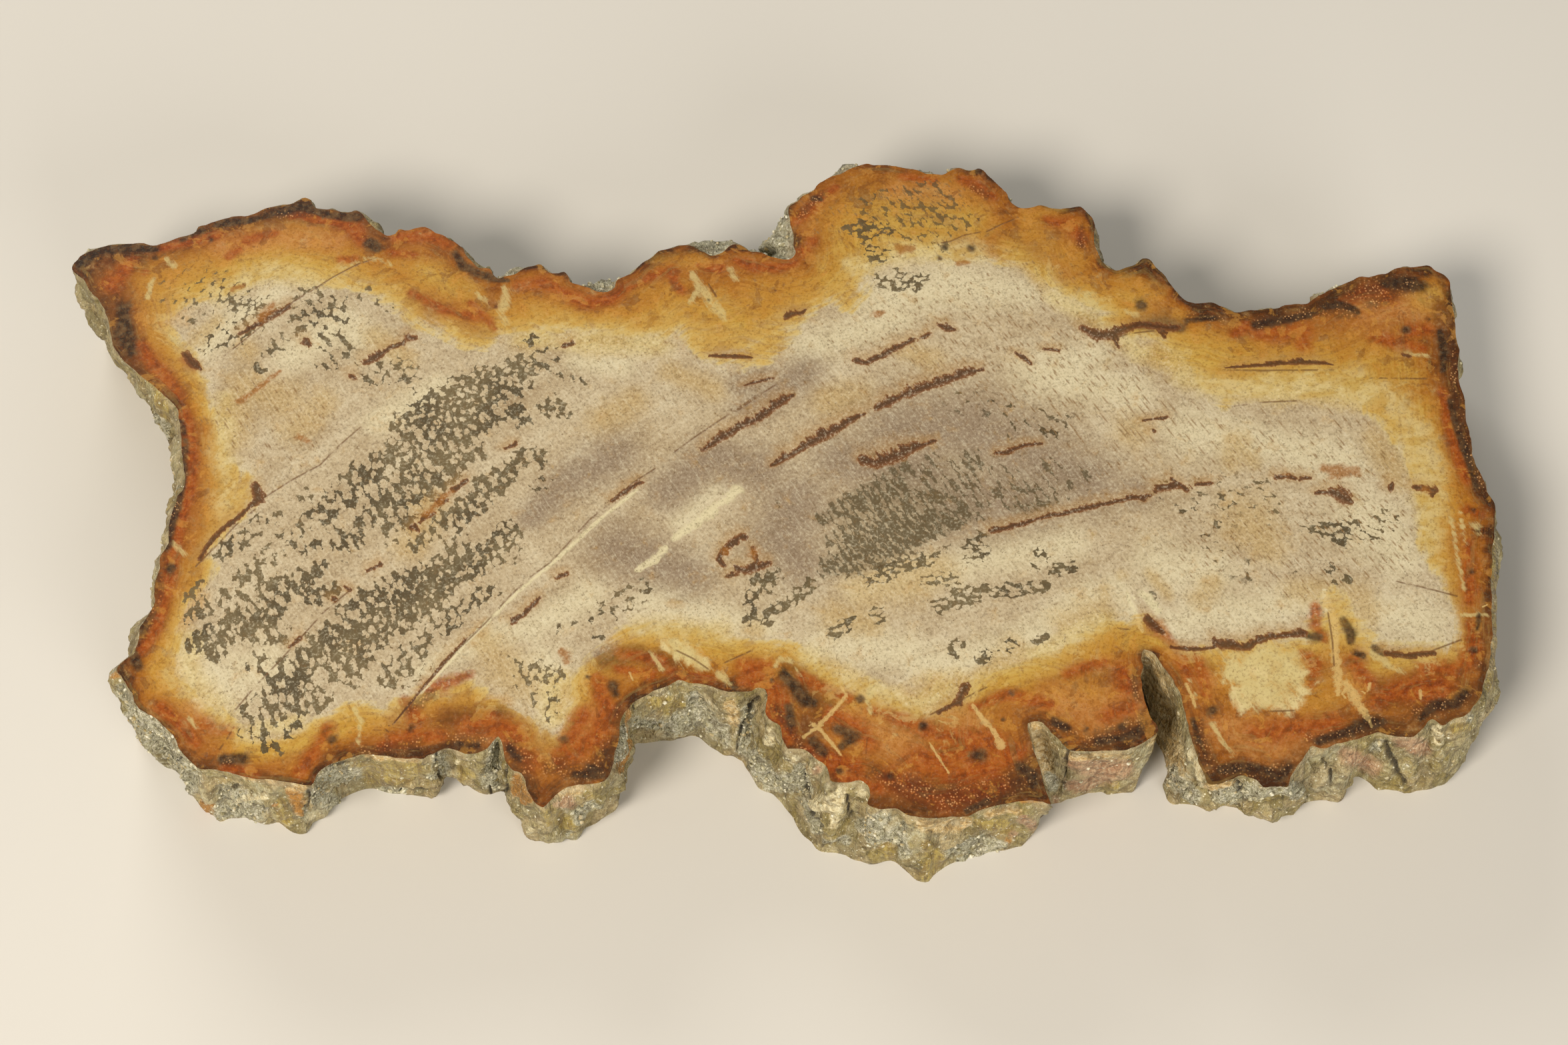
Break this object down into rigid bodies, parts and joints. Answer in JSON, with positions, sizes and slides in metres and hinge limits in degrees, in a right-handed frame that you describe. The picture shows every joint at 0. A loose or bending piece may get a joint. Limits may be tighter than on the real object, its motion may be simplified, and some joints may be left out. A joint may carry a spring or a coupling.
{
  "type": "petrified wood slice",
  "caption": "Ragged-edged slab of petrified wood with one polished face and a flat sawn back, for display on a shelf or desk.",
  "frame": {"origin": "middle of the bounding box, on the sawn back the slab rests on", "axes": "+X along the slab's length towards the squared end, +Y to the side with the round back lobe, +Z out of the polished face"},
  "size_m": [0.2508, 0.1322, 0.025],
  "materials": {
    "petrified_wood": "polished face, rough broken rim"
  },
  "bodies": {
    "root": {"petrified_wood_slice": "petrified_wood"}
  },
  "joints": []
}
